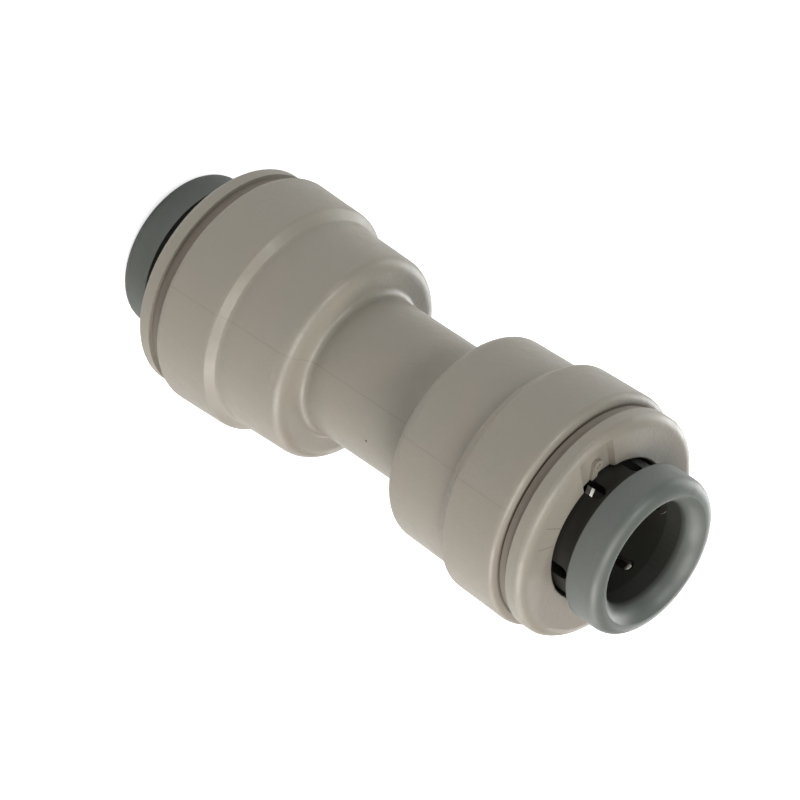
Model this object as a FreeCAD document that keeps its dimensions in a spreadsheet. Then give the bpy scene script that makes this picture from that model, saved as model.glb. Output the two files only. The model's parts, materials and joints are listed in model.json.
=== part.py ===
"""Straight push-fit tube connector, equal ends, stood on end along +Z.

Built as the real one comes apart: one moulded body, an end cap welded into each
mouth, a collet that slides in each cap and grips the tube with steel teeth, and
an O-ring behind each collet. All lengths are in millimetres, all angles in degrees.
The origin is the middle of the body on the tube axis.
"""
import FreeCAD, Part
import math
import os
import re

import Sketcher

# Driving sizes, one alias a row: (alias, value, what it measures)
SIZES = [
    ("tube_radius", 3.175, "outside radius of the tube that the fitting takes"),
    ("seat_clearance", 0.095, "radial clearance of the tube in its seat"),
    ("stop_ledge", 0.925, "how far the tube stop reaches inside the tube's radius"),
    ("stop_height", 3.00, "height of the shoulder that stops the tube"),
    ("seat_depth", 4.00, "length of the tube seat"),
    ("neck_wall", 1.28, "wall of the waist round the tube seat"),
    ("small_head_length", 4.80, "from the waist to the step"),
    ("small_head_draft", 0.15, "growth of the small head towards the step"),
    ("step_lead", 0.14, "how far the step starts below the cap's socket"),
    ("step_length", 0.60, "axial length of the step"),
    ("step_rise", 0.61, "radial rise of the step"),
    ("large_head_length", 3.99, "from the step to the body's mouth"),
    ("large_head_draft", 0.13, "growth of the large head towards its mouth"),
    ("mouth_round", 0.50, "round on the body's mouth edge"),
    ("waist_round", 0.45, "fillet where the waist meets the head"),
    ("back_round", 0.85, "round on the small head's back edge"),
    ("step_round", 0.30, "rounds on the step"),
    ("bore_break", 0.25, "lead-in chamfers inside the body"),
    ("socket_wall", 1.41, "wall of the body round the cap's sleeve"),
    ("ring_section", 2.06, "section of the O-ring"),
    ("ring_squeeze", 0.145, "how far the O-ring reaches inside the tube's radius"),
    ("ring_gap", 0.05, "gap between the O-ring and its pocket"),
    ("ring_play", 0.24, "axial room left in the O-ring's pocket"),
    ("weld_gap", 0.03, "radial gap between cap sleeve and socket"),
    ("crease", 0.12, "open joint between body and cap"),
    ("sleeve_wall", 0.62, "wall of the cap's sleeve"),
    ("sleeve_end_gap", 0.06, "gap from the cap's sleeve to the body's shoulder"),
    ("cap_inset", 0.35, "how far the cap's disc is set in from the body"),
    ("cap_band_inset", 0.23, "how far the band behind the disc is set in"),
    ("cap_band_length", 0.66, "axial length of that band"),
    ("cap_disc_length", 0.66, "side of the cap's disc"),
    ("cap_crown_radial", 0.70, "radial width and radius of the disc's rounded edge"),
    ("cap_crown_axial", 0.46, "axial height of the disc's rounded edge"),
    ("cap_dish", 0.04, "fall of the cap's face towards its hole"),
    ("cap_hole_clearance", 0.20, "radial clearance of the collet in the cap"),
    ("cap_rim_round", 0.12, "round on the rim of the cap's hole"),
    ("cap_land_length", 0.81, "straight part of the cap's hole"),
    ("cone_length", 4.19, "length of the cap's inner cone"),
    ("cone_rise", 0.81, "radial growth of the cap's inner cone"),
    ("recess_angle", 241.8, "middle of the recess in the cap's face"),
    ("recess_width", 2.22, "width of that recess at its floor"),
    ("recess_reach", 6.56, "radius that the recess's floor reaches"),
    ("recess_depth", 0.33, "depth of that recess below the rim"),
    ("recess_slope", 30.0, "lean of the recess walls"),
    ("gate_place", 5.35, "distance of the gate stub from the axis, along the recess"),
    ("gate_side", 0.09, "how far the gate stub stands to one side of the recess"),
    ("gate_radius", 0.33, "radius of the gate stub"),
    ("gate_height", 0.28, "how far the gate stub stands off the recess's floor"),
    ("gate_root", 0.10, "how far the gate stub is carried down into the cap"),
    ("pit_radius", 0.16, "radius of the pit torn in the gate stub"),
    ("pit_depth", 0.12, "depth of that pit"),
    ("tail_gap", 0.06, "from the cap's hole to the end of the gate stub's tail"),
    ("tail_side", 0.30, "how far the tail's end stands to the other side"),
    ("tail_width", 0.40, "width of the tail at its end"),
    ("tail_height", 0.20, "how far the tail stands off the recess's floor"),
    ("cut_room", 0.50, "how far cutting shapes are carried past the surface"),
    ("collet_clearance", 0.145, "radial clearance of the tube in the collet"),
    ("barrel_wall", 0.98, "wall of the collet's barrel"),
    ("collet_travel", 1.35, "how far the collet can be pressed in"),
    ("travel_clearance", 0.19, "room left under the flange when it is pressed in"),
    ("collet_end_gap", 0.10, "room left under the fingers when it is pressed in"),
    ("flange_lip", 0.72, "how far the flange stands out from the barrel"),
    ("flange_length", 2.20, "axial length of the flange"),
    ("flange_round", 0.80, "round on the flange's outer edge"),
    ("flange_land", 0.10, "flat ring on the flange's crest"),
    ("mouth_flare_depth", 1.18, "depth of the collet's flared mouth"),
    ("mouth_flare_radius", 1.60, "radius of the flare's curve"),
    ("slot_land", 1.05, "from a slot's end, at the axis, to the flange"),
    ("slot_start", 2.60, "where the cut of a slot starts, inside the bore"),
    ("slot_root_width", 0.308, "width of a slot where its cut starts"),
    ("slot_flare", 10.0, "lean of each slot wall"),
    ("slot_edge_round", 0.20, "round on the slots' inner edges"),
    ("slot_angle_a", 211.0, "first slot, with its twin straight across"),
    ("slot_angle_b", 251.0, "second slot, with its twin straight across"),
    ("slot_angle_c", 323.5, "third slot, with its twin straight across"),
    ("finger_gap", 0.05, "running gap between finger heads and cone"),
    ("shoulder_drop", 2.20, "from the top of the cone to the finger heads"),
    ("nose_length", 0.80, "length of a finger head's nose"),
    ("nose_inset", 0.65, "how far the nose is drawn in"),
    ("head_lead", 0.35, "lead-in inside the finger head"),
    ("tooth_bite", 0.12, "how far a tooth reaches inside the tube's radius"),
    ("tooth_setback", 0.714, "from the fingers' ends to a tooth's edge"),
    ("tooth_reach", 0.974, "radial length of a tooth strip"),
    ("tooth_lean", 0.636, "rise of a tooth strip over its radial length"),
    ("tooth_thickness", 0.20, "axial thickness of a tooth strip"),
    ("tooth_bevel", 0.10, "radial length of the bevel behind a tooth's edge"),
    ("tooth_span", 40.0, "angular width of a tooth strip"),
    ("tooth_end_gap", 0.5, "angle left free at each end of a tooth strip"),
    ("insert_gap", 0.02, "gap between a tooth strip and its seat"),
]

# Places worked out from the driving sizes: (alias, formula)
DERIVED = [
    ("waterway_radius", "=tube_radius - stop_ledge"),
    ("seat_radius", "=tube_radius + seat_clearance"),
    ("neck_radius", "=seat_radius + neck_wall"),
    ("collet_bore", "=tube_radius + collet_clearance"),
    ("barrel_radius", "=collet_bore + barrel_wall"),
    ("cap_hole_radius", "=barrel_radius + cap_hole_clearance"),
    ("cone_radius", "=cap_hole_radius + cone_rise"),
    ("sleeve_radius", "=cone_radius + sleeve_wall"),
    ("socket_radius", "=sleeve_radius + weld_gap"),
    ("large_head_back", "=socket_radius + socket_wall"),
    ("large_head_front", "=large_head_back + large_head_draft"),
    ("small_head_front", "=large_head_back - step_rise"),
    ("small_head_radius", "=small_head_front - small_head_draft"),
    ("ring_radius", "=ring_section / 2"),
    ("ring_pitch_radius", "=tube_radius - ring_squeeze + ring_radius"),
    ("seal_radius", "=ring_pitch_radius + ring_radius + ring_gap"),
    ("seat_top", "=stop_height + seat_depth"),
    ("ring_height", "=seat_top + ring_gap + ring_radius"),
    ("seal_top", "=seat_top + ring_section + ring_play"),
    ("step_height", "=seal_top - step_lead"),
    ("step_top", "=step_height + step_length"),
    ("neck_height", "=step_height - small_head_length"),
    ("body_height", "=step_top + large_head_length"),
    ("sleeve_end", "=seal_top + sleeve_end_gap"),
    ("cap_radius", "=large_head_front - cap_inset"),
    ("cap_band_radius", "=cap_radius - cap_band_inset"),
    ("cap_crest_radius", "=cap_radius - cap_crown_radial"),
    ("cap_back", "=body_height + crease"),
    ("cap_band_top", "=cap_back + cap_band_length"),
    ("cap_side_top", "=cap_band_top + cap_disc_length"),
    ("cap_crest", "=cap_side_top + cap_crown_axial"),
    ("cap_face", "=cap_crest - cap_dish"),
    ("cone_top", "=cap_face - cap_land_length"),
    ("cone_bottom", "=cone_top - cone_length"),
    ("cone_rate", "=cone_rise / cone_length"),
    ("flange_back", "=cap_face + collet_travel + travel_clearance"),
    ("flange_radius", "=barrel_radius + flange_lip"),
    ("collet_top", "=flange_back + flange_length"),
    ("slot_top", "=flange_back - slot_land"),
    ("collet_bottom", "=seal_top + collet_travel + collet_end_gap"),
    ("head_shoulder_height", "=cone_top - shoulder_drop"),
    ("head_shoulder_radius", "=cap_hole_radius + cone_rate * shoulder_drop - finger_gap"),
    ("head_widest_height", "=collet_bottom + nose_length"),
    ("head_radius", "=cap_hole_radius + cone_rate * (cone_top - head_widest_height) - finger_gap"),
    ("tooth_radius", "=tube_radius - tooth_bite"),
    ("tooth_height", "=collet_bottom + tooth_setback"),
    ("tooth_slope", "=tooth_lean / tooth_reach"),
    ("grip_angle_a", "=(slot_angle_b + slot_angle_c) / 2"),
    ("grip_angle_b", "=(slot_angle_c + slot_angle_a + 180) / 2"),
]

doc = FreeCAD.newDocument("push_fit_connector")
sheet = doc.addObject("Spreadsheet::Sheet", "Sizes")
for row, (alias, value, meaning) in enumerate(SIZES, start=1):
    sheet.set(f"A{row}", alias)
    sheet.set(f"B{row}", str(value))
    sheet.set(f"C{row}", meaning)
    sheet.setAlias(f"B{row}", alias)
for row, (alias, formula) in enumerate(DERIVED, start=len(SIZES) + 2):
    sheet.set(f"A{row}", alias)
    sheet.set(f"B{row}", formula)
    sheet.setAlias(f"B{row}", alias)
doc.recompute()
ALIASES = {entry[0] for entry in SIZES + DERIVED}
HALF_ROUND = "half round"
NEAR = 0.001   # how closely an edge must lie at its place to be the one meant
LEVEL = 0.02   # an edge that rises less than this is a level one
UP = FreeCAD.Vector(0, 0, 1)
UPRIGHT = FreeCAD.Placement()
TURNED_OVER = FreeCAD.Placement(FreeCAD.Vector(), FreeCAD.Rotation(FreeCAD.Vector(1, 0, 0), 180))


def size(alias):
    """The number that the sheet holds under an alias."""
    return float(getattr(sheet, alias))


def cell(expression):
    """Expression text with each alias pointed at the sheet."""
    return re.sub(r"[a-z_]+", lambda word: f"Sizes.{word[0]}" if word[0] in ALIASES else word[0],
                  expression)


def new_body(node, placement):
    """A body whose label is the node's name."""
    body = doc.addObject("PartDesign::Body", node)
    body.Label = node
    body.Placement = placement
    return body


def origin_item(body, role):
    """One of the body's own origin planes or axes."""
    return next(item for item in body.Origin.OriginFeatures if item.Role == role)


def new_sketch(body, name, role, angle="", height="", out=""):
    """An empty sketch on an origin plane, turned about the tube axis, raised along it,
    or moved out from it."""
    sketch = body.newObject("Sketcher::SketchObject", name)
    sketch.AttachmentSupport = [(origin_item(body, role), "")]
    sketch.MapMode = "FlatFace"
    if angle:
        turn_axis = FreeCAD.Vector(0, 0, 1) if role == "XY_Plane" else FreeCAD.Vector(0, 1, 0)
        sketch.AttachmentOffset = FreeCAD.Placement(FreeCAD.Vector(), FreeCAD.Rotation(turn_axis, 1))
        sketch.setExpression("AttachmentOffset.Rotation.Angle", f"({cell(angle)}) * 1deg")
    if height:
        sketch.setExpression("AttachmentOffset.Base.z", cell(height))
    if out:
        for side, share in (("x", "sin"), ("z", "cos")):
            move = cell(f"({out}) * {share}(({angle}) * 1deg)")
            sketch.setExpression(f"AttachmentOffset.Base.{side}", move)
    doc.recompute()
    return sketch


def pin_point(sketch, geometry, point, across, up):
    """Hold one point at a place given by two expressions."""
    for axis, kind, text in (("x", "DistanceX", across), ("y", "DistanceY", up)):
        if text == "0":
            line = -2 if axis == "x" else -1
            sketch.addConstraint(Sketcher.Constraint("PointOnObject", geometry, point, line))
            continue
        value = float(sketch.evalExpression(cell(text)))
        index = sketch.addConstraint(Sketcher.Constraint(kind, -1, 1, geometry, point, value))
        name = f"g{geometry}p{point}{axis}"
        sketch.renameConstraint(index, name)
        sketch.setExpression(f"Constraints.{name}", cell(text))


def arc_through(start, end, radius, side):
    """Arc from start to end; side +1 bulges to the right of the way, -1 to the left."""
    chord = end - start
    rise = math.sqrt(max(radius ** 2 - (chord.Length / 2) ** 2, 0))
    left = FreeCAD.Vector(-chord.y, chord.x, 0).normalize()
    centre = start + chord * 0.5 + left * rise * side
    first, last = (start, end) if side > 0 else (end, start)
    circle = Part.Circle(centre, UP, radius)
    return Part.ArcOfCircle(circle, circle.parameter(first), circle.parameter(last))


def outline(sketch, corners):
    """Closed outline. A corner is (across, up), or (across, up, radius, side) when the
    edge that reaches it is an arc. A HALF_ROUND joins two corners of one height."""
    def number(text):
        return float(sketch.evalExpression(cell(text)))

    places = [FreeCAD.Vector(number(corner[0]), number(corner[1]), 0) for corner in corners]
    ends = []
    for index, corner in enumerate(corners):
        start, end = places[index - 1], places[index]
        if len(corner) == 2:
            edge = sketch.addGeometry(Part.LineSegment(start, end), False)
            ends.append((edge, 1, 2))
            continue
        half_round = corner[2] == HALF_ROUND
        radius = (end - start).Length / 2 if half_round else number(corner[2])
        edge = sketch.addGeometry(arc_through(start, end, radius, corner[3]), False)
        ends.append((edge, 1, 2) if corner[3] > 0 else (edge, 2, 1))
        kind, text = ("DistanceY", corner[1]) if half_round else ("Radius", corner[2])
        if half_round:
            held = Sketcher.Constraint(kind, -1, 1, edge, 3, end.y)
        else:
            held = Sketcher.Constraint(kind, edge, radius)
        held = sketch.addConstraint(held)
        sketch.renameConstraint(held, f"g{edge}arc")
        sketch.setExpression(f"Constraints.g{edge}arc", cell(text))
    for index, corner in enumerate(corners):
        edge, _, last = ends[index]
        following, first, _ = ends[(index + 1) % len(ends)]
        sketch.addConstraint(Sketcher.Constraint("Coincident", edge, last, following, first))
        pin_point(sketch, edge, last, corner[0], corner[1])
    doc.recompute()


def turn(body, sketch, name, kind="PartDesign::Revolution", angle=""):
    """Turn a sketch about the tube axis, all round or evenly to both sides of its plane."""
    turned = body.newObject(kind, name)
    turned.Profile = sketch
    turned.ReferenceAxis = (sketch, ["V_Axis"])
    turned.Angle = 360
    if angle:
        turned.Midplane = True
        turned.setExpression("Angle", f"({cell(angle)}) * 1deg")
    body.Tip = turned
    doc.recompute()
    return turned


def pocket(body, sketch, name, length, taper):
    """Cut along the sketch's normal, the walls leaning out by the taper."""
    cut = body.newObject("PartDesign::Pocket", name)
    cut.Profile = sketch
    cut.Reversed = True
    cut.setExpression("Length", cell(length))
    cut.setExpression("TaperAngle", f"({cell(taper)}) * 1deg")
    body.Tip = cut
    doc.recompute()
    return cut


def pad(body, sketch, name, length):
    """Raise a sketch along its normal."""
    raised = body.newObject("PartDesign::Pad", name)
    raised.Profile = sketch
    raised.setExpression("Length", cell(length))
    body.Tip = raised
    doc.recompute()
    return raised


def rims(shape, radius, height):
    """Names of the circular edges of one radius at plus or minus one height."""
    found = []
    for number, edge in enumerate(shape.Edges, start=1):
        curve = edge.Curve
        if not isinstance(curve, Part.Circle):
            continue
        same_size = abs(curve.Radius - radius) < NEAR
        if same_size and abs(abs(curve.Center.z) - height) < NEAR:
            found.append(f"Edge{number}")
    return found


def dress(body, name, kind, edges, amount):
    """Fillet or chamfer on named edges of the body's tip."""
    base = body.Tip
    feature = body.newObject(kind, name)
    feature.Base = (base, edges)
    measure = "Radius" if kind.endswith("Fillet") else "Size"
    feature.setExpression(measure, cell(amount))
    body.Tip = feature
    doc.recompute()
    return feature


def twin(body, name, features):
    """The same features again, straight across the tube axis."""
    pattern = body.newObject("PartDesign::PolarPattern", name)
    pattern.Originals = features
    pattern.Axis = (origin_item(body, "Z_Axis"), [""])
    pattern.Angle = 360
    pattern.Occurrences = 2
    body.Tip = pattern
    doc.recompute()
    return pattern


def connector_body():
    """The moulded body: a waist, two stepped heads and the stepped bore."""
    body = new_body("connector_body", UPRIGHT)
    sketch = new_sketch(body, "body_half_profile", "XZ_Plane")
    outline(sketch, [
        ("neck_radius", "0"),
        ("neck_radius", "neck_height"),
        ("small_head_radius", "neck_height"),
        ("small_head_front", "step_height"),
        ("large_head_back", "step_top"),
        ("large_head_front", "body_height"),
        ("socket_radius", "body_height"),
        ("socket_radius", "seal_top"),
        ("seal_radius", "seal_top"),
        ("seal_radius", "seat_top"),
        ("seat_radius", "seat_top"),
        ("seat_radius", "stop_height"),
        ("waterway_radius", "stop_height"),
        ("waterway_radius", "0"),
    ])
    half = turn(body, sketch, "body_half")
    both = body.newObject("PartDesign::Mirrored", "body_both_ends")
    both.Originals = [half]
    both.MirrorPlane = (origin_item(body, "XY_Plane"), [""])
    body.Tip = both
    doc.recompute()
    for name, radius, height, amount in (
            ("mouth_rounds", "large_head_front", "body_height", "mouth_round"),
            ("waist_rounds", "neck_radius", "neck_height", "waist_round"),
            ("back_rounds", "small_head_radius", "neck_height", "back_round"),
            ("step_rounds", "large_head_back", "step_top", "step_round"),
            ("step_fillets", "small_head_front", "step_height", "step_round")):
        dress(body, name, "PartDesign::Fillet", rims(body.Shape, size(radius), size(height)), amount)
    for name, radius, height in (
            ("socket_breaks", "socket_radius", "body_height"),
            ("seat_breaks", "seat_radius", "seat_top")):
        edges = rims(body.Shape, size(radius), size(height))
        dress(body, name, "PartDesign::Chamfer", edges, "bore_break")


def end_cap(node, placement):
    """The cap: a dished disc, a set-in band, and a sleeve with the fingers' cone."""
    body = new_body(node, placement)
    sketch = new_sketch(body, f"{node}_profile", "XZ_Plane")
    outline(sketch, [
        ("cap_hole_radius + cap_rim_round", "cap_face"),
        ("cap_hole_radius", "cap_face - cap_rim_round", "cap_rim_round", 1),
        ("cap_hole_radius", "cone_top"),
        ("cone_radius", "cone_bottom"),
        ("cone_radius", "sleeve_end"),
        ("sleeve_radius", "sleeve_end"),
        ("sleeve_radius", "cap_back"),
        ("cap_band_radius", "cap_back"),
        ("cap_band_radius", "cap_band_top"),
        ("cap_radius", "cap_band_top"),
        ("cap_radius", "cap_side_top"),
        ("cap_crest_radius", "cap_crest", "cap_crown_radial", 1),
    ])
    turn(body, sketch, f"{node}_turned")
    recess_in_face(body, node)
    gate_stub(body, node)


def recess_in_face(body, node):
    """A shallow recess with leaning walls, open to the cap's hole."""
    sketch = new_sketch(body, f"{node}_recess_outline", "XY_Plane", "recess_angle",
                        "cap_face - recess_depth")
    near = "cap_hole_radius - cut_room * 2"
    far = "sqrt(recess_reach ^ 2 - (recess_width / 2) ^ 2)"
    outline(sketch, [
        (near, "-recess_width / 2"),
        (far, "-recess_width / 2"),
        (far, "recess_width / 2", "recess_reach", 1),
        (near, "recess_width / 2"),
    ])
    pocket(body, sketch, f"{node}_recess", "recess_depth + cap_dish + cut_room", "recess_slope")


def gate_stub(body, node):
    """The torn stub of the moulding gate, with a tail towards the hole."""
    foot = "cap_face - recess_depth - gate_root"
    sketch = new_sketch(body, f"{node}_tail_outline", "XY_Plane", "recess_angle", foot)
    tail_end = "cap_hole_radius + tail_gap"
    outline(sketch, [
        ("gate_place", "-gate_side - gate_radius"),
        ("gate_place", "gate_radius - gate_side"),
        (tail_end, "tail_side + tail_width / 2"),
        (tail_end, "tail_side - tail_width / 2"),
    ])
    pad(body, sketch, f"{node}_tail", "gate_root + tail_height")
    sketch = new_sketch(body, f"{node}_stub_outline", "XY_Plane", "recess_angle", foot)
    outline(sketch, [
        ("gate_place - gate_radius", "-gate_side", HALF_ROUND, 1),
        ("gate_place + gate_radius", "-gate_side", HALF_ROUND, 1),
    ])
    pad(body, sketch, f"{node}_stub", "gate_root + gate_height")
    sketch = new_sketch(body, f"{node}_pit_outline", "XY_Plane", "recess_angle",
                        "cap_face - recess_depth + gate_height - pit_depth")
    outline(sketch, [
        ("gate_place - pit_radius", "-gate_side", HALF_ROUND, 1),
        ("gate_place + pit_radius", "-gate_side", HALF_ROUND, 1),
    ])
    pocket(body, sketch, f"{node}_pit", "pit_depth + cut_room", "recess_slope / 2")


def collet(node, placement):
    """The collet: a flared flange, a barrel and six sprung fingers with barbed heads."""
    body = new_body(node, placement)
    sketch = new_sketch(body, f"{node}_profile", "XZ_Plane")
    outline(sketch, [
        ("collet_bore", "collet_top - mouth_flare_depth", "mouth_flare_radius", 1),
        ("collet_bore", "collet_bottom + head_lead"),
        ("collet_bore + head_lead", "collet_bottom"),
        ("head_radius - nose_inset", "collet_bottom"),
        ("head_radius", "head_widest_height"),
        ("head_shoulder_radius", "head_shoulder_height"),
        ("barrel_radius", "head_shoulder_height + head_shoulder_radius - barrel_radius"),
        ("barrel_radius", "flange_back"),
        ("flange_radius", "flange_back"),
        ("flange_radius", "collet_top - flange_round"),
        ("flange_radius - flange_round", "collet_top", "flange_round", 1),
        ("flange_radius - flange_round - flange_land", "collet_top"),
    ])
    turn(body, sketch, f"{node}_turned")
    for letter in "abc":
        cut = slot(body, f"{node}_slot_{letter}", f"slot_angle_{letter}")
        twin(body, f"{node}_slots_{letter}", [cut])
    edges = slot_edges(body.Shape, size("collet_bore"))
    dress(body, f"{node}_slot_rounds", "PartDesign::Fillet", edges, "slot_edge_round")
    for letter in "ab":
        cut = tooth_seat(body, f"{node}_seat_{letter}", f"grip_angle_{letter}")
        twin(body, f"{node}_seats_{letter}", [cut])


def slot(body, name, angle):
    """One slot with a round outer end, its walls spreading outwards."""
    sketch = new_sketch(body, f"{name}_outline", "YZ_Plane", angle, out="slot_start")
    outline(sketch, [
        ("-slot_root_width / 2", "collet_bottom - cut_room"),
        ("slot_root_width / 2", "collet_bottom - cut_room"),
        ("slot_root_width / 2", "slot_top"),
        ("-slot_root_width / 2", "slot_top", HALF_ROUND, 1),
    ])
    return pocket(body, sketch, name, "head_radius + cut_room - slot_start", "slot_flare")


def slot_edges(shape, radius):
    """Names of the upright and curved edges where slots break through the bore."""
    found = []
    for number, edge in enumerate(shape.Edges, start=1):
        places = edge.discretize(5)
        on_bore = all(abs(math.hypot(place.x, place.y) - radius) < NEAR for place in places)
        heights = [place.z for place in places]
        if on_bore and max(heights) - min(heights) > LEVEL:
            found.append(f"Edge{number}")
    return found


def strip_corners(gap, inner):
    """Section of a tooth strip, or of its seat when a gap is given."""
    foot = f"tooth_height - {gap} + tooth_slope * "
    roof = f"tooth_height + tooth_thickness + {gap} + tooth_slope * "
    outer = f"tooth_radius + tooth_reach + {gap}"
    return foot, roof, inner, outer


def tooth_seat(body, name, angle):
    """The moulded slit that holds one tooth strip."""
    sketch = new_sketch(body, f"{name}_outline", "XZ_Plane", angle)
    foot, roof, inner, outer = strip_corners("insert_gap", "collet_bore - head_lead")
    outline(sketch, [
        (inner, f"{foot} ({inner} - tooth_radius)"),
        (outer, f"{foot} ({outer} - tooth_radius)"),
        (outer, f"{roof} ({outer} - tooth_radius)"),
        (inner, f"{roof} ({inner} - tooth_radius)"),
    ])
    return turn(body, sketch, name, "PartDesign::Groove", "tooth_span + 2 * tooth_end_gap")


def grip_tooth(node, placement):
    """A strip of steel, bevelled to an edge that leans the way the tube goes in."""
    body = new_body(node, placement)
    sketch = new_sketch(body, f"{node}_profile", "XZ_Plane")
    foot, roof, inner, outer = strip_corners("0", "tooth_radius")
    outline(sketch, [
        (inner, foot + "0"),
        (outer, f"{foot} ({outer} - tooth_radius)"),
        (outer, f"{roof} ({outer} - tooth_radius)"),
        (f"{inner} + tooth_bevel", f"{roof} tooth_bevel"),
    ])
    turn(body, sketch, f"{node}_strip", angle="tooth_span")


def o_ring(node, height):
    """The seal behind a collet."""
    ring = doc.addObject("Part::Torus", node)
    ring.Label = node
    ring.setExpression("Radius1", cell("ring_pitch_radius"))
    ring.setExpression("Radius2", cell("ring_radius"))
    ring.setExpression("Placement.Base.z", cell(height))


connector_body()
for end, placement, ring_side in (("upper", UPRIGHT, "ring_height"),
                                  ("lower", TURNED_OVER, "-ring_height")):
    end_cap(f"end_cap_{end}", placement)
    collet(f"collet_{end}", placement)
    o_ring(f"o_ring_{end}", ring_side)
    for number, (letter, across) in enumerate((("a", 0), ("b", 0), ("a", 180), ("b", 180)), start=1):
        angle = size(f"grip_angle_{letter}") + across
        turned = FreeCAD.Placement(FreeCAD.Vector(), FreeCAD.Rotation(UP, angle))
        grip_tooth(f"grip_tooth_{end}_{number}", placement.multiply(turned))
doc.recompute()

os.makedirs("parts", exist_ok=True)
failed = [item.Name for item in doc.Objects if {"Invalid", "Error"} & set(item.State)]
nodes = [item for item in doc.Objects if item.isDerivedFrom("PartDesign::Body")]
nodes += [item for item in doc.Objects if item.isDerivedFrom("Part::Torus")]
failed += [node.Label for node in nodes if node.Shape.isNull() or not node.Shape.isValid()]
if failed:
    raise RuntimeError(f"not built: {failed}")
for node in nodes:
    node.Shape.exportStep(f"parts/{node.Label}.step")
    print(node.Label, round(node.Shape.Volume, 3), len(node.Shape.Solids), len(node.Shape.Faces))
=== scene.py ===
"""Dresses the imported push-fit connector and shows it as the photograph does.

Finishes for the moulded body, collets, steel strips and seals, the mould's parting
lines and the small marks of use, a pale floor, soft light and the camera. All lengths
are in metres, in the frame of the part: origin at its middle, +Z along the tube axis.
"""
import json
import math

import bpy
from mathutils import Matrix, Vector
from mathutils.bvhtree import BVHTree

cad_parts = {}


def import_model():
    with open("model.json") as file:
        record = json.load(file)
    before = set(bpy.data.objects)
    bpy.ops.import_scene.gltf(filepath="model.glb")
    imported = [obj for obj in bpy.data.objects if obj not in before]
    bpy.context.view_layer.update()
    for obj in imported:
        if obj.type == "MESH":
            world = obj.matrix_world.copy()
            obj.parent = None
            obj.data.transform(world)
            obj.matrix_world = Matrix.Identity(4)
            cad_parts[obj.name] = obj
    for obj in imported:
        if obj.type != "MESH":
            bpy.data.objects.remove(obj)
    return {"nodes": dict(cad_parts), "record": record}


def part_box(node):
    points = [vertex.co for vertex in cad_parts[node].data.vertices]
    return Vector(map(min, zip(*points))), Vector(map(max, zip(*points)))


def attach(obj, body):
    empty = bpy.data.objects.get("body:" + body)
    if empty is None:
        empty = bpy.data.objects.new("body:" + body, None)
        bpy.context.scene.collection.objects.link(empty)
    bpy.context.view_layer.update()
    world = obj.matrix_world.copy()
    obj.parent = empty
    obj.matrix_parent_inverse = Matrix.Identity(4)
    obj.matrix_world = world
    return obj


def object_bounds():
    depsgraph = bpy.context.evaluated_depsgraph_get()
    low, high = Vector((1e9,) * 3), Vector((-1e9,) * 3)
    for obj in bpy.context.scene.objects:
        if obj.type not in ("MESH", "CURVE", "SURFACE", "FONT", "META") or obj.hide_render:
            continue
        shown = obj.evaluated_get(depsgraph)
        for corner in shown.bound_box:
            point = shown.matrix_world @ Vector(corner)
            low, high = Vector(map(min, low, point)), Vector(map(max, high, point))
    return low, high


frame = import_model()
cad_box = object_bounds()
MM = 0.001

# Camera: the photograph's own view, from above one side and rolled
IMAGE_SIDE = 800
FOCAL_PIXELS = 5284.6
CAMERA_ELEVATION = 31.86
CAMERA_ROLL = 123.70
CAMERA_DISTANCE = 305.1 * MM
CAMERA_ACROSS = -0.625 * MM
CAMERA_UP = -0.125 * MM

# Angles round the tube axis are in degrees from +X towards +Y

# The mould's parting lines stand a hair proud of the moulding
PARTING_ANGLES = (288.0, 108.0)
PARTING_WIDTH = 0.07 * MM
PARTING_HEIGHT = 0.012 * MM
PROFILE_STEP = 0.10 * MM
SUNK = 0.006 * MM

# The knit lines across the cap's face, darkened with painted shade of a fine groove
KNIT_ANGLES = (288.2, 301.6)
KNIT_RADII = (6.05 * MM, 4.73 * MM)
KNIT_WIDTH = 0.08 * MM
KNIT_STEPS = 12

# The speck of dirt on the neck: each of its rings has a share of the radius and a height
SPECK_ANGLE = 319.9
SPECK_HEIGHT = 0.92 * MM
SPECK_RADIUS = 0.09 * MM
SPECK_RINGS = ((1.0, -SUNK), (0.7, 0.010 * MM), (0.01, 0.014 * MM))
SPECK_CORNERS = 12

# A thin pale strip in the collet's bore, a small bright mark
PALE_STRIP_ANGLES = (135.5, 144.2)
PALE_STRIP_HEIGHTS = (16.66 * MM, 17.05 * MM)
PALE_STRIP_WIDTH = 0.035 * MM
PALE_STRIP_BOW = 0.12
PALE_STRIP_STEPS = 8

# The collet's bore and where its flange starts; the band behind the cap's disc. These bound the
# painted shade
COLLET_BORE = 3.32 * MM
FLANGE_START = 17.15 * MM
BAND_RADIUS = 6.93 * MM
BAND_START = 13.75 * MM
BAND_END = 14.46 * MM

# Half the side of the floor
FLOOR_REACH = 1.5


def add(tree, kind, inputs=(), **settings):
    """A new shader node. Inputs map a socket's name or number to a value or an output."""
    made = tree.nodes.new(kind)
    for name, value in settings.items():
        setattr(made, name, value)
    for name, value in dict(inputs).items():
        if isinstance(value, bpy.types.NodeSocket):
            tree.links.new(value, made.inputs[name])
        else:
            made.inputs[name].default_value = value
    return made


def new_material(name):
    """An empty node material, its tree and its output node."""
    material = bpy.data.materials.new(name)
    material.use_nodes = True
    tree = material.node_tree
    tree.nodes.clear()
    return material, tree, tree.nodes.new("ShaderNodeOutputMaterial")


def noise(tree, size, detail, roughness=0.5):
    """Noise in the part's own space, with features about as large as size."""
    place = add(tree, "ShaderNodeTexCoord")
    return add(tree, "ShaderNodeTexNoise", {
        "Vector": place.outputs["Object"],
        "Scale": 1 / size,
        "Detail": detail,
        "Roughness": roughness,
    })


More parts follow.
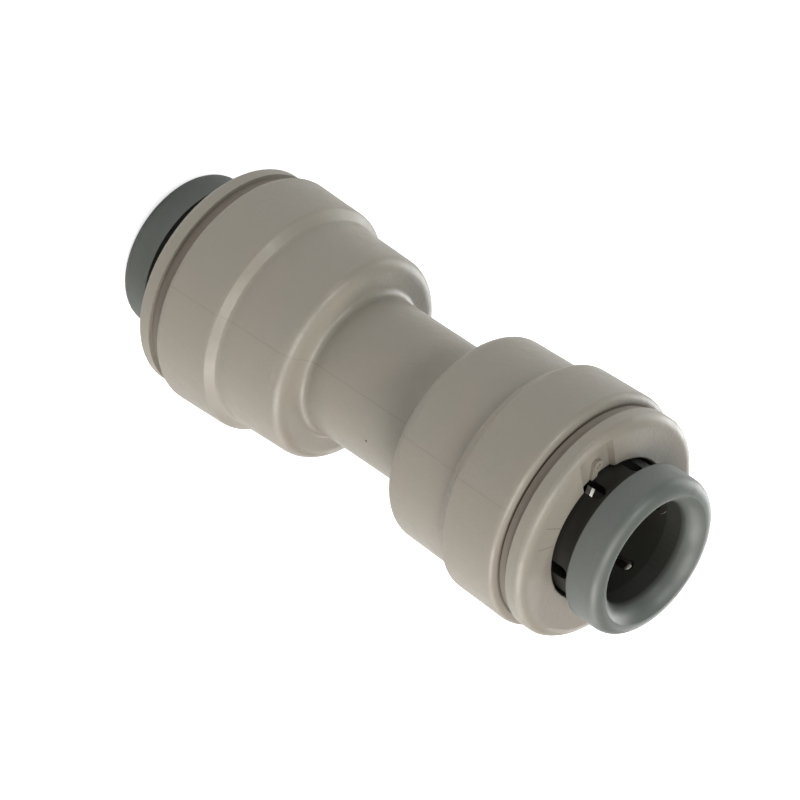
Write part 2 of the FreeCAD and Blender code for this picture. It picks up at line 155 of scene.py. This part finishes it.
def spread(tree, value, low, high, low_in=0.3, high_in=0.7):
    """A value spread over a range of numbers, by default a noise value."""
    ranged = add(tree, "ShaderNodeMapRange", {
        "Value": value,
        "From Min": low_in,
        "From Max": high_in,
        "To Min": low,
        "To Max": high,
    })
    return ranged.outputs["Result"]


def two_tones(tree, source, first, second):
    """A colour that drifts between two tones as a noise value does."""
    mixed = add(tree, "ShaderNodeMix", {
        "Factor": spread(tree, source.outputs[0], 0.0, 1.0),
    }, data_type="RGBA")
    mixed.inputs[6].default_value = (*first, 1)
    mixed.inputs[7].default_value = (*second, 1)
    return mixed.outputs[2]


def from_axis(tree):
    """A point's distance from the tube axis, and its height above or below the middle."""
    place = add(tree, "ShaderNodeTexCoord")
    flat = add(tree, "ShaderNodeVectorMath", {
        0: place.outputs["Object"],
        1: (1, 1, 0),
    }, operation="MULTIPLY")
    radius = add(tree, "ShaderNodeVectorMath", {0: flat.outputs[0]}, operation="LENGTH")
    split = add(tree, "ShaderNodeSeparateXYZ", {0: place.outputs["Object"]})
    height = add(tree, "ShaderNodeMath", {0: split.outputs["Z"]}, operation="ABSOLUTE")
    return radius.outputs["Value"], height.outputs[0]


def painted_collet_shade(tree):
    """Painted shade mask: 1 in a collet's bore and on its barrel, 0 on its flange and flare."""
    radius, height = from_axis(tree)
    near = spread(tree, radius, 1.0, 0.0, COLLET_BORE - 0.02 * MM, COLLET_BORE + 0.10 * MM)
    low = spread(tree, height, 1.0, 0.0, FLANGE_START - 0.05 * MM, FLANGE_START + 0.05 * MM)
    return add(tree, "ShaderNodeMath", {0: near, 1: low}, operation="MAXIMUM").outputs[0]


def painted_band_shade(tree):
    """Painted shade mask: 1 in the set-in band behind an end cap's disc, 0 elsewhere."""
    radius, height = from_axis(tree)
    inset = spread(tree, radius, 1.0, 0.0, BAND_RADIUS, BAND_RADIUS + 0.12 * MM)
    above = spread(tree, height, 0.0, 1.0, BAND_START - 0.16 * MM, BAND_START)
    below = spread(tree, height, 1.0, 0.0, BAND_END, BAND_END + 0.06 * MM)
    between = add(tree, "ShaderNodeMath", {0: above, 1: below}, operation="MULTIPLY")
    zone = add(tree, "ShaderNodeMath", {0: inset, 1: between.outputs[0]}, operation="MULTIPLY")
    return zone.outputs[0]


def moulded_plastic(name, first, second, gloss, grain_height, zone=None, dark=None):
    """Spark-eroded moulded plastic: fine grain, faint clouding and uneven gloss.

    Where a zone is given, painted shade covers it: the dark tone, and less shine.
    """
    material, tree, output = new_material(name)
    clouds = noise(tree, 3.5 * MM, detail=3)
    patches = noise(tree, 0.9 * MM, detail=4, roughness=0.6)
    grain = noise(tree, 0.24 * MM, detail=1)
    flow = noise(tree, 0.8 * MM, detail=1)
    low_relief = add(tree, "ShaderNodeBump", {
        "Height": flow.outputs[0],
        "Strength": 1.0,
        "Distance": grain_height * 1.2,
    })
    relief = add(tree, "ShaderNodeBump", {
        "Height": grain.outputs[0],
        "Strength": 1.0,
        "Distance": grain_height,
        "Normal": low_relief.outputs[0],
    })
    shader = add(tree, "ShaderNodeBsdfPrincipled", {
        "Roughness": spread(tree, patches.outputs[0], gloss[0], gloss[1]),
        "Normal": relief.outputs[0],
        "IOR": 1.48,
    })
    tone = two_tones(tree, clouds, first, second)
    if zone:
        # Painted shade: the dark tone and less shine over the zone
        share = zone(tree)
        mixed = add(tree, "ShaderNodeMix", {
            "Factor": share,
            6: tone,
            7: (*dark, 1),
        }, data_type="RGBA")
        tone = mixed.outputs[2]
        shine = spread(tree, share, 0.5, 0.28, 0.0, 1.0)
        tree.links.new(shine, shader.inputs["Specular IOR Level"])
    tree.links.new(tone, shader.inputs["Base Color"])
    tree.links.new(shader.outputs[0], output.inputs[0])
    return material


def spring_steel(name):
    """Rolled stainless strip with faint draw marks."""
    material, tree, output = new_material(name)
    smudges = noise(tree, 0.5 * MM, detail=3)
    marks = noise(tree, 0.05 * MM, detail=2)
    relief = add(tree, "ShaderNodeBump", {
        "Height": marks.outputs[0],
        "Strength": 1.0,
        "Distance": 0.0008 * MM,
    })
    shader = add(tree, "ShaderNodeBsdfPrincipled", {
        "Base Color": two_tones(tree, smudges, (0.46, 0.46, 0.44), (0.54, 0.54, 0.52)),
        "Roughness": spread(tree, smudges.outputs[0], 0.40, 0.52),
        "Normal": relief.outputs[0],
        "Metallic": 1.0,
    })
    tree.links.new(shader.outputs[0], output.inputs[0])
    return material


def seal_rubber(name):
    """Black moulded rubber with a dusty bloom."""
    material, tree, output = new_material(name)
    bloom = noise(tree, 0.7 * MM, detail=4, roughness=0.65)
    grain = noise(tree, 0.08 * MM, detail=2)
    relief = add(tree, "ShaderNodeBump", {
        "Height": grain.outputs[0],
        "Strength": 1.0,
        "Distance": 0.003 * MM,
    })
    shader = add(tree, "ShaderNodeBsdfPrincipled", {
        "Base Color": two_tones(tree, bloom, (0.012, 0.012, 0.012), (0.035, 0.034, 0.032)),
        "Roughness": spread(tree, bloom.outputs[0], 0.42, 0.62),
        "Normal": relief.outputs[0],
    })
    tree.links.new(shader.outputs[0], output.inputs[0])
    return material


MATERIALS = {
    # The body's last tone is painted shade, with less shine, in the band behind each cap's disc
    "body_plastic": moulded_plastic("body_plastic", (0.278, 0.251, 0.212), (0.266, 0.252, 0.214),
                                    (0.32, 0.44), 0.0125 * MM, painted_band_shade, (0.205, 0.179, 0.148)),
    "parting_plastic": moulded_plastic("parting_plastic", (0.252, 0.226, 0.190),
                                       (0.230, 0.208, 0.174), (0.36, 0.50), 0.0030 * MM),
    # Near-black: real dirt on the speck, painted shade of a fine groove on the knit lines
    "dirt_and_groove_shade": moulded_plastic("dirt_and_groove_shade", (0.070, 0.058, 0.047), (0.060, 0.052, 0.043),
                                    (0.40, 0.55), 0.0030 * MM),
    "pale_strip": moulded_plastic("pale_strip", (0.55, 0.55, 0.52), (0.60, 0.60, 0.56),
                            (0.60, 0.75), 0.0010 * MM),
    # The collet's last tone is painted shade, much darker and less shiny, over its bore and
    # barrel
    "collet_plastic": moulded_plastic("collet_plastic", (0.108, 0.121, 0.111),
                                      (0.118, 0.130, 0.120), (0.36, 0.46), 0.0015 * MM,
                                      painted_collet_shade, (0.030, 0.030, 0.026)),
    "tooth_steel": spring_steel("tooth_steel"),
    "seal_rubber": seal_rubber("seal_rubber"),
}


def dress_cad_nodes():
    """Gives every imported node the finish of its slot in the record."""
    for entry in frame["record"]["subparts"]:
        data = frame["nodes"][entry["node"]].data
        data.materials.clear()
        data.materials.append(MATERIALS[entry["material_slot"]])


def surface_of(node):
    """A function that gives the first point of a node that a ray meets."""
    data = frame["nodes"][node].data
    tree = BVHTree.FromPolygons([vertex.co for vertex in data.vertices],
                                [face.vertices for face in data.polygons])

    def meet(start, way):
        return tree.ray_cast(start, way)[0]
    return meet


def directions(angle):
    """The ways out from the tube axis and round it, at an angle in radians."""
    way = Vector((math.cos(angle), math.sin(angle), 0))
    return way, Vector((-way.y, way.x, 0))


def outline_points(meet, angle, low, high):
    """(radius, height) pairs up a node's outside, closer together where it steps."""
    way = directions(angle)[0]

    def point_at(height):
        start = way * cad_box[1].z + Vector((0, 0, height))
        return meet(start, -way).xy.length, height

    def between(first, last):
        if abs(first[0] - last[0]) < PROFILE_STEP or last[1] - first[1] < SUNK:
            return [last]
        point = point_at((first[1] + last[1]) / 2)
        return between(first, point) + between(point, last)

    count = math.ceil((high - low) / PROFILE_STEP)
    points = [point_at(low + (high - low) * index / count) for index in range(count + 1)]
    line = points[:1]
    for first, last in zip(points, points[1:]):
        line += between(first, last)
    return line


def add_piece(name, rows, material, body):
    """A strip of faces over rows of points of equal length, riding on a body."""
    width = len(rows[0])
    faces = []
    for row in range(len(rows) - 1):
        for column in range(width - 1):
            first = row * width + column
            faces.append((first, first + 1, first + width + 1, first + width))
    mesh = bpy.data.meshes.new(name)
    mesh.from_pydata([point for row in rows for point in row], [], faces)
    mesh.polygons.foreach_set("use_smooth", [True] * len(faces))
    mesh.materials.append(material)
    piece = bpy.data.objects.new(name, mesh)
    bpy.context.scene.collection.objects.link(piece)
    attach(piece, body)


def ridge(points, angle, width, height):
    """Rows across a low ridge that runs over (radius, height) points at one angle."""
    way, across = directions(angle)
    rows = []
    for index, (radius, level) in enumerate(points):
        first, last = points[max(index - 1, 0)], points[min(index + 1, len(points) - 1)]
        run, rise = last[0] - first[0], last[1] - first[1]
        length = math.hypot(run, rise)
        out = way * (rise / length) - Vector((0, 0, run / length))
        base = way * radius + Vector((0, 0, level))
        rows.append([
            base - across * (width / 2) - out * SUNK,
            base + out * height,
            base + across * (width / 2) - out * SUNK,
        ])
    return rows


def parting_lines():
    """The mould's parting lines down both sides of the body."""
    meet = surface_of("connector_body")
    low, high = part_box("connector_body")
    for number, place in enumerate(PARTING_ANGLES, start=1):
        angle = math.radians(place)
        points = outline_points(meet, angle, low.z + PROFILE_STEP, high.z - PROFILE_STEP)
        rows = ridge(points, angle, PARTING_WIDTH, PARTING_HEIGHT)
        add_piece(f"parting_line_{number}", rows,
                  MATERIALS["parting_plastic"], "fitting")


def knit_lines():
    """Hairlines across the cap's face, where the moulding's flows met, darkened with painted
    shade of a fine groove.
    """
    meet = surface_of("end_cap_upper")
    first, last = KNIT_RADII
    for number, place in enumerate(KNIT_ANGLES, start=1):
        angle = math.radians(place)
        points = []
        for step in range(KNIT_STEPS + 1):
            radius = first + (last - first) * step / KNIT_STEPS
            start = Vector((radius * math.cos(angle), radius * math.sin(angle), cad_box[1].z))
            points.append((radius, meet(start, Vector((0, 0, -1))).z))
        rows = ridge(points, angle, KNIT_WIDTH, PARTING_HEIGHT / 4)
        add_piece(f"knit_line_{number}", rows, MATERIALS["dirt_and_groove_shade"], "fitting")


def speck():
    """A speck of dirt stuck to the neck."""
    way, across = directions(math.radians(SPECK_ANGLE))
    meet = surface_of("connector_body")
    centre = meet(way * cad_box[1].z + Vector((0, 0, SPECK_HEIGHT)), -way)
    rows = []
    for share, lift in SPECK_RINGS:
        ring = []
        for corner in range(SPECK_CORNERS + 1):
            turn = math.tau * corner / SPECK_CORNERS
            reach = SPECK_RADIUS * share * (1 + 0.25 * math.sin(3 * turn))
            ring.append(centre + way * lift + across * (reach * math.cos(turn))
                        + Vector((0, 0, reach * math.sin(turn))))
        rows.append(ring)
    add_piece("dirt_speck", rows, MATERIALS["dirt_and_groove_shade"], "fitting")


def pale_strip():
    """A thin pale strip lying on the upper collet's bore, a small bright mark."""
    meet = surface_of("collet_upper")
    rows = []
    for step in range(PALE_STRIP_STEPS + 1):
        share = step / PALE_STRIP_STEPS
        angle = math.radians(PALE_STRIP_ANGLES[0] + (PALE_STRIP_ANGLES[1] - PALE_STRIP_ANGLES[0]) * share)
        bowed = share + PALE_STRIP_BOW * math.sin(math.pi * share)
        height = PALE_STRIP_HEIGHTS[0] + (PALE_STRIP_HEIGHTS[1] - PALE_STRIP_HEIGHTS[0]) * bowed
        way, across = directions(angle)
        base = meet(Vector((0, 0, height)), way)
        rows.append([
            base - across * (PALE_STRIP_WIDTH / 2) + way * SUNK,
            base - way * (PALE_STRIP_WIDTH / 2),
            base + across * (PALE_STRIP_WIDTH / 2) + way * SUNK,
        ])
    add_piece("pale_strip", rows, MATERIALS["pale_strip"], "upper_collet")


def floor():
    """A white table under the connector, clear when looked at from beneath."""
    height = cad_box[0].z
    mesh = bpy.data.meshes.new("floor")
    corners = [(-1, -1), (1, -1), (1, 1), (-1, 1)]
    mesh.from_pydata([(FLOOR_REACH * x, FLOOR_REACH * y, height) for x, y in corners],
                     [], [(0, 1, 2, 3)])
    table = bpy.data.objects.new("floor", mesh)
    bpy.context.scene.collection.objects.link(table)
    material, tree, output = new_material("floor_white")
    path = add(tree, "ShaderNodeLightPath")
    side = add(tree, "ShaderNodeNewGeometry")
    matt = add(tree, "ShaderNodeBsdfDiffuse", {"Color": (0.86, 0.86, 0.86, 1)})
    glow = add(tree, "ShaderNodeEmission", {"Color": (1, 1, 1, 1), "Strength": FLOOR_GLOW})
    lit = add(tree, "ShaderNodeAddShader", {0: matt.outputs[0], 1: glow.outputs[0]})
    shown = add(tree, "ShaderNodeMixShader", {
        0: path.outputs["Is Camera Ray"],
        1: matt.outputs[0],
        2: lit.outputs[0],
    })
    clear = add(tree, "ShaderNodeBsdfTransparent")
    sided = add(tree, "ShaderNodeMixShader", {
        0: side.outputs["Backfacing"],
        1: shown.outputs[0],
        2: clear.outputs[0],
    })
    tree.links.new(sided.outputs[0], output.inputs[0])
    mesh.materials.append(material)


def world():
    """A dim even sky that looks white behind the part."""
    scene = bpy.context.scene
    scene.world = bpy.data.worlds.new("studio")
    scene.world.use_nodes = True
    tree = scene.world.node_tree
    tree.nodes.clear()
    path = add(tree, "ShaderNodeLightPath")
    seen = add(tree, "ShaderNodeMath", {
        0: path.outputs["Is Camera Ray"],
        1: path.outputs["Is Transmission Ray"],
    }, operation="MAXIMUM")
    strength = add(tree, "ShaderNodeMapRange", {
        "Value": seen.outputs[0],
        "To Min": SKY_LIGHT,
        "To Max": 1.0,
    })
    sky = add(tree, "ShaderNodeBackground", {
        "Color": (1, 1, 1, 1),
        "Strength": strength.outputs["Result"],
    })
    output = tree.nodes.new("ShaderNodeOutputWorld")
    tree.links.new(sky.outputs[0], output.inputs[0])


def camera_axes():
    """The camera's right, up and back directions."""
    lift, roll = math.radians(CAMERA_ELEVATION), math.radians(CAMERA_ROLL)
    back = Vector((0, -math.cos(lift), math.sin(lift)))
    level = Vector((1, 0, 0))
    upright = back.cross(level)
    right = level * math.cos(roll) + upright * math.sin(roll)
    return right, back.cross(right), back


def camera():
    """The photograph's camera, a long lens close to the axis of the view."""
    right, up, back = camera_axes()
    data = bpy.data.cameras.new("camera")
    data.sensor_width = 36
    data.lens = data.sensor_width * FOCAL_PIXELS / IMAGE_SIDE
    data.clip_start, data.clip_end = 0.01, 10
    eye = bpy.data.objects.new("camera", data)
    place = right * CAMERA_ACROSS + up * CAMERA_UP + back * CAMERA_DISTANCE
    turn = Matrix((right, up, back)).transposed().to_4x4()
    eye.matrix_world = Matrix.Translation(place) @ turn
    bpy.context.scene.collection.objects.link(eye)
    bpy.context.scene.camera = eye


# Light: the sky's strength, and the glow that only the camera sees on the floor
SKY_LIGHT = 0.04
FLOOR_GLOW = 0.75

# Each lamp's name, its angle round the tube axis and above the floor in degrees, its
# width, its watts and its colour. The two narrow ones give the photo's sharp highlights.
LAMP_DISTANCE = 0.30
LAMPS = (
    ("right_high", 0, 35, 0.15, 0.59, (1.0, 0.96, 0.93)),
    ("back_right", 30, 10, 0.15, 0.21, (1.0, 0.98, 0.96)),
    ("back", 90, 10, 0.15, 0.26, (1.0, 1.0, 1.0)),
    ("back_left", 120, 10, 0.15, 0.42, (1.0, 1.0, 1.0)),
    ("left", 150, 10, 0.15, 0.20, (0.96, 1.0, 0.97)),
    ("front_left", 216, 56, 0.06, 0.22, (0.97, 1.0, 0.98)),
    ("low_left", 222, 20, 0.04, 0.07, (1.0, 1.0, 1.0)),
    ("front_top", 300, 62, 0.15, 0.54, (1.0, 0.97, 0.94)),
)


def lamps():
    """Soft square lamps round the part, each facing it."""
    for name, turn, lift, width, power, colour in LAMPS:
        data = bpy.data.lights.new(name, "AREA")
        data.shape = "SQUARE"
        data.size = width
        data.energy = power
        data.color = colour
        turn, lift = math.radians(turn), math.radians(lift)
        way = Vector((math.cos(turn) * math.cos(lift),
                      math.sin(turn) * math.cos(lift),
                      math.sin(lift)))
        lamp = bpy.data.objects.new(name, data)
        facing = way.to_track_quat("Z", "Y").to_matrix().to_4x4()
        lamp.matrix_world = Matrix.Translation(way * LAMP_DISTANCE) @ facing
        bpy.context.scene.collection.objects.link(lamp)


dress_cad_nodes()
parting_lines()
knit_lines()
speck()
pale_strip()
floor()
world()
lamps()
camera()
bpy.context.scene.view_settings.view_transform = "Standard"
